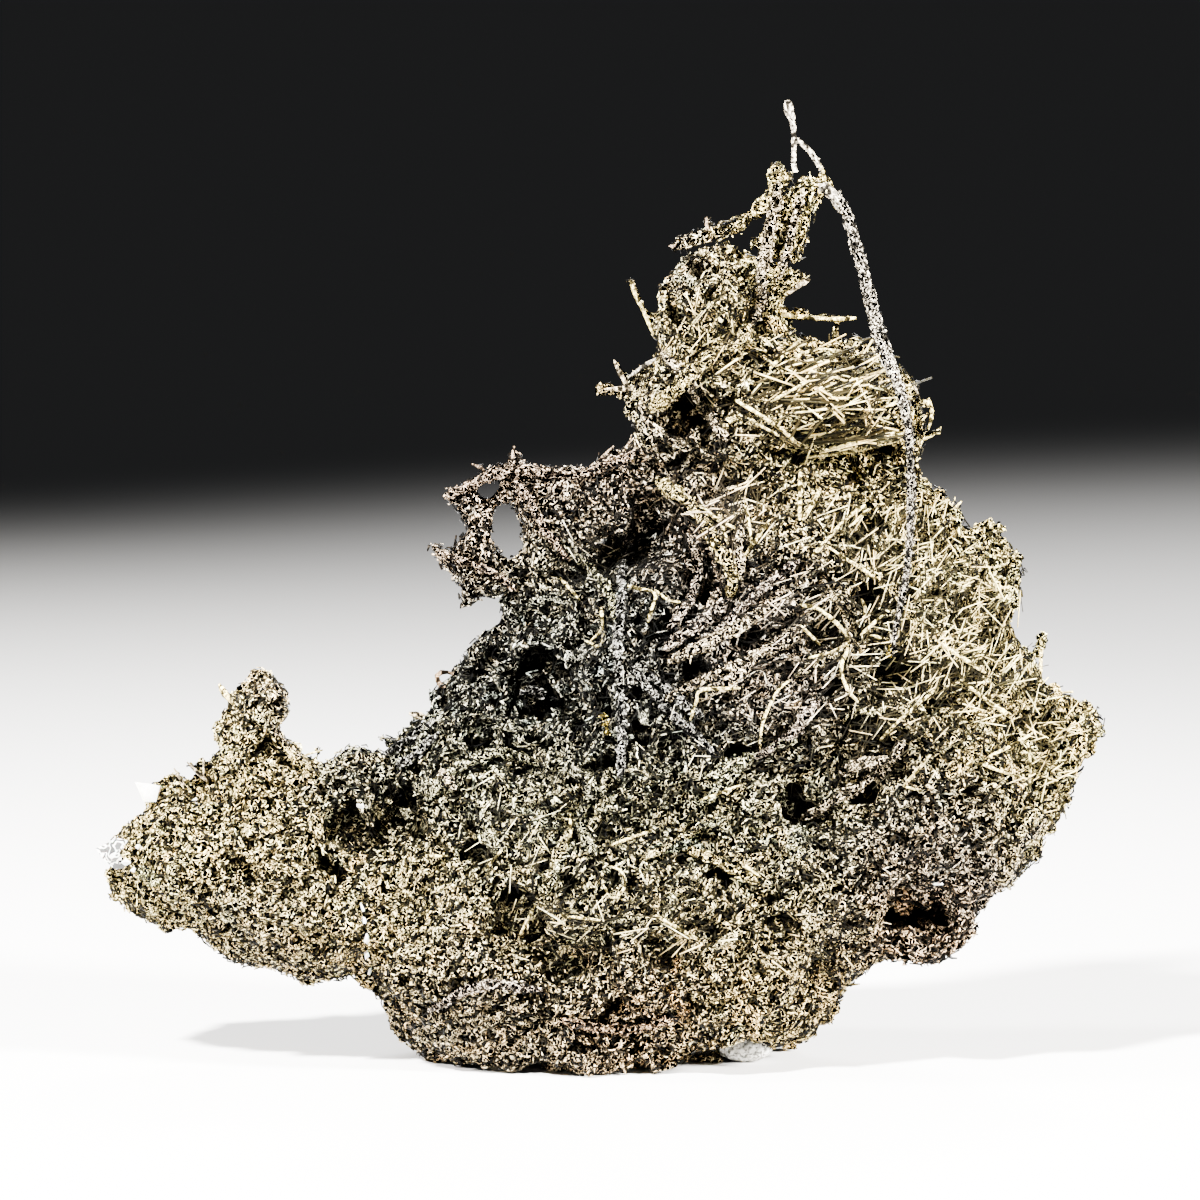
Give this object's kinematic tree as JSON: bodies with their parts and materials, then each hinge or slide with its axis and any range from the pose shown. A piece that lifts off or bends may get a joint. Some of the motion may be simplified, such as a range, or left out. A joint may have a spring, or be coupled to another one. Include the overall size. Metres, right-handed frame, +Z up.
{
  "type": "native silver specimen",
  "caption": "Free-standing specimen of matted native wire silver with a side lobe, a lattice arch, a tower and one long curved strand, resting on a flat foot.",
  "frame": {"origin": "near the middle of the flat foot that the specimen stands on", "axes": "+Z up, +Y away from the side shown in the picture, +X to that side's right; the lobe runs to -X"},
  "size_m": [0.1012, 0.044, 0.0962],
  "materials": {
    "silver": "rough wire silver with a warm cream to olive-grey tarnish and near-black gaps",
    "tarnished_silver": "darker brown-grey tarnished wire silver",
    "calcite": "white cleaved calcite, slightly glossy",
    "grey_stone": "grey-white granular stone"
  },
  "bodies": {
    "root": {"main_mass": "silver", "left_lobe": "silver", "left_arch": "tarnished_silver", "tower": "silver", "crest_column": "tarnished_silver", "crest_branch": "tarnished_silver", "long_strand": "silver", "top_wire": "silver", "calcite_chip": "calcite", "calcite_rim": "calcite", "base_pebble": "grey_stone"}
  },
  "joints": []
}
